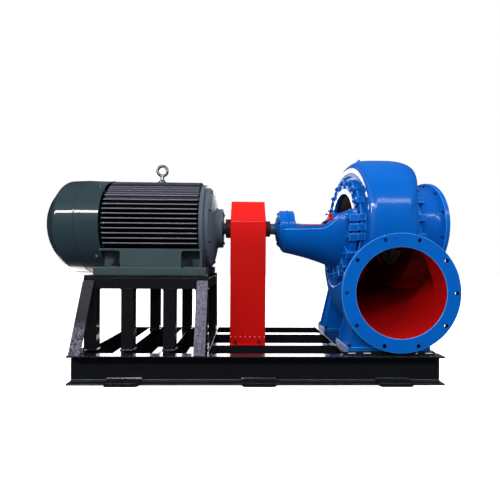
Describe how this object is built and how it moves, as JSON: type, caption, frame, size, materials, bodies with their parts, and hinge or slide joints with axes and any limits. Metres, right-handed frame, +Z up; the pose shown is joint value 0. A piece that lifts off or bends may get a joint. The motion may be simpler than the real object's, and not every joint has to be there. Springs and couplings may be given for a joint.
{
  "type": "mixed flow pump set",
  "caption": "Horizontal volute mixed flow pump on a channel base, driven through a guarded coupling by a finned electric motor on a welded stand; the rotor turns.",
  "frame": {"origin": "on the floor, at the middle of the bounding box's bottom; the shaft's axis runs along X at y = -0.045 m, z = 0.937 m", "axes": "+Z up; +X along the shaft from the motor to the suction flange; the discharge flange faces -Y"},
  "size_m": [2.52, 1.04, 1.415],
  "materials": {
    "black_steel": "gloss black paint",
    "motor_paint": "gloss slate green paint",
    "guard_red": "semi-gloss red paint",
    "hub_maroon": "dull maroon primer",
    "pump_blue": "gloss blue paint, red primer inside",
    "bright_steel": "machined",
    "black_plastic": "moulded"
  },
  "bodies": {
    "set": {"skid_front_beam": "black_steel", "skid_rear_beam": "black_steel", "skid_motor_end_beam": "black_steel", "skid_pump_end_beam": "black_steel", "skid_cross_beam_1": "black_steel", "skid_cross_beam_2": "black_steel", "skid_cross_beam_3": "black_steel", "skid_inner_beam_front": "black_steel", "skid_inner_beam_rear": "black_steel", "pump_sole_plate": "black_steel", "stand_frame_front": "black_steel", "stand_frame_rear": "black_steel", "stand_rail_left": "black_steel", "stand_rail_right": "black_steel", "stand_leg_front_left": "black_steel", "stand_leg_front_right": "black_steel", "stand_leg_rear_left": "black_steel", "stand_leg_rear_right": "black_steel", "motor_frame": "motor_paint", "motor_drive_end_shield": "motor_paint", "motor_bearing_cap": "motor_paint", "motor_fan_cowl": "motor_paint", "motor_terminal_box": "motor_paint", "motor_eye_bolt": "bright_steel", "coupling_guard": "guard_red", "pump_bracket": "pump_blue", "pump_bearing_cover": "pump_blue", "pump_rear_cover": "pump_blue", "pump_gland": "pump_blue", "packing_valve": "guard_red", "pump_casing": "pump_blue", "pump_suction_cover": "pump_blue", "pump_foot_front": "pump_blue", "pump_foot_rear": "pump_blue"},
    "rotor": {"motor_shaft": "bright_steel", "motor_fan": "black_plastic", "motor_coupling_half": "hub_maroon", "pump_coupling_half": "hub_maroon", "pump_shaft": "bright_steel", "pump_impeller": "pump_blue"}
  },
  "joints": [
    {"name": "rotor_spin", "type": "hinge", "parent": "set", "child": "rotor", "pos_m": [0, -0.045, 0.937], "axis": [1, 0, 0], "continuous": true}
  ]
}
